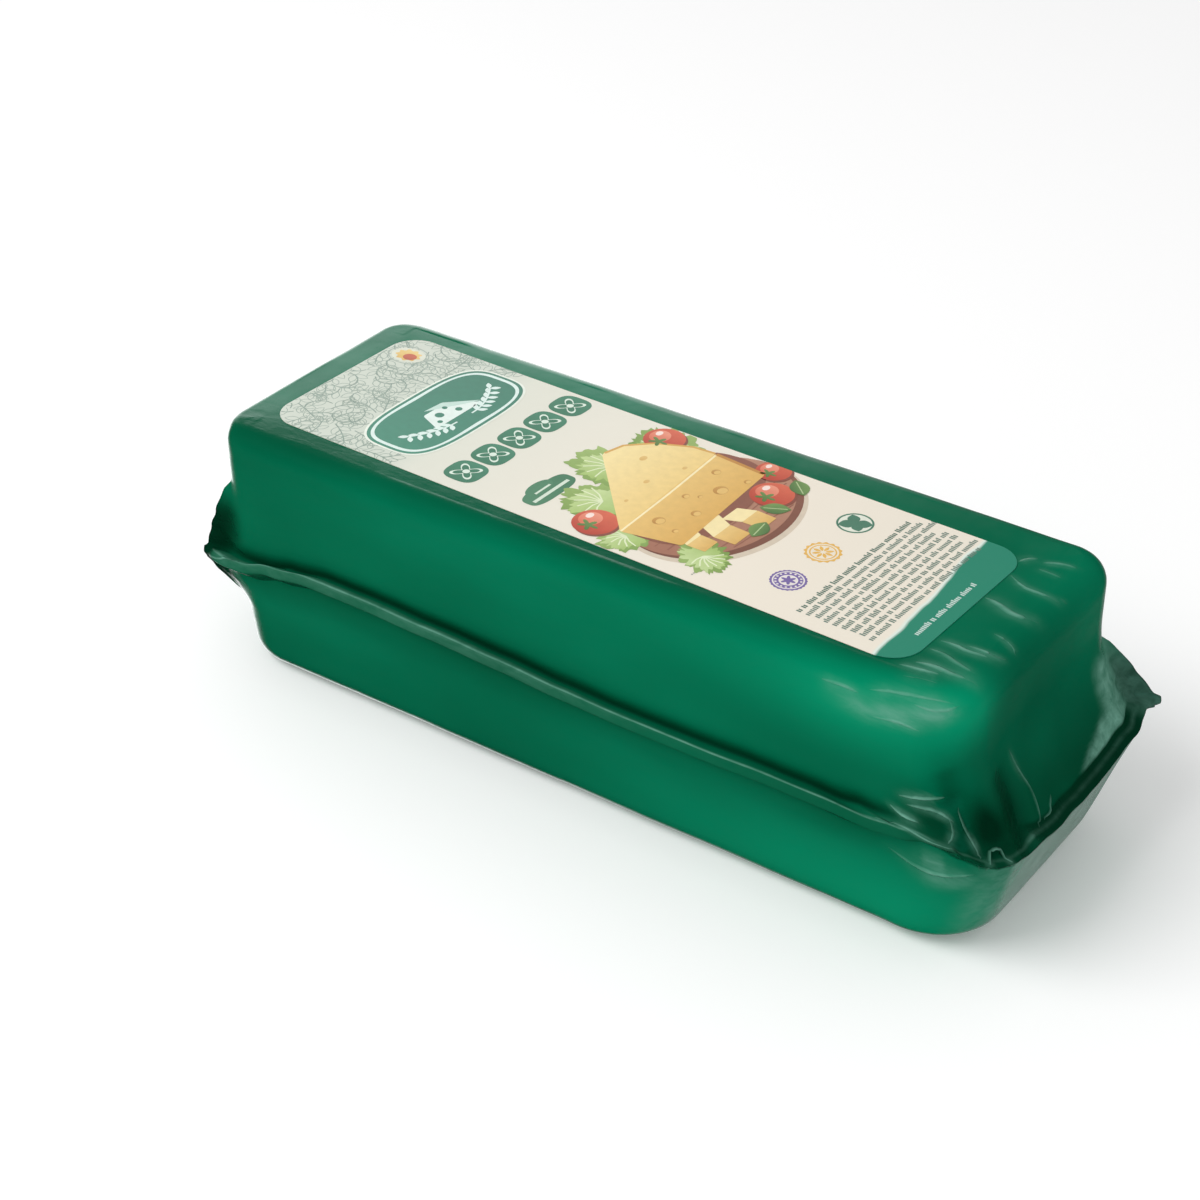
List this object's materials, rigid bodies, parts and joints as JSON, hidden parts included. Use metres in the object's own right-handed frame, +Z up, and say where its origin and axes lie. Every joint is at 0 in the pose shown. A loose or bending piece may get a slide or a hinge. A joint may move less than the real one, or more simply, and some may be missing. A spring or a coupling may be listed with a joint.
{
  "type": "wrapped gouda cheese loaf",
  "caption": "Whole oblong cheese loaf shut in green shrink film, with a welded seam round its sides, pointed film ears at the corners and an oblong printed label on top.",
  "frame": {"origin": "centre of the loaf's base, under the middle of the seam's outline", "axes": "+X along the loaf towards the creased end of the top, +Y across it, +Z up out of the labelled top"},
  "size_m": [0.3256, 0.114, 0.0991],
  "materials": {
    "film": "gloss",
    "label": "satin"
  },
  "bodies": {
    "root": {"wrapped_loaf": "film", "top_label": "label"}
  },
  "joints": []
}
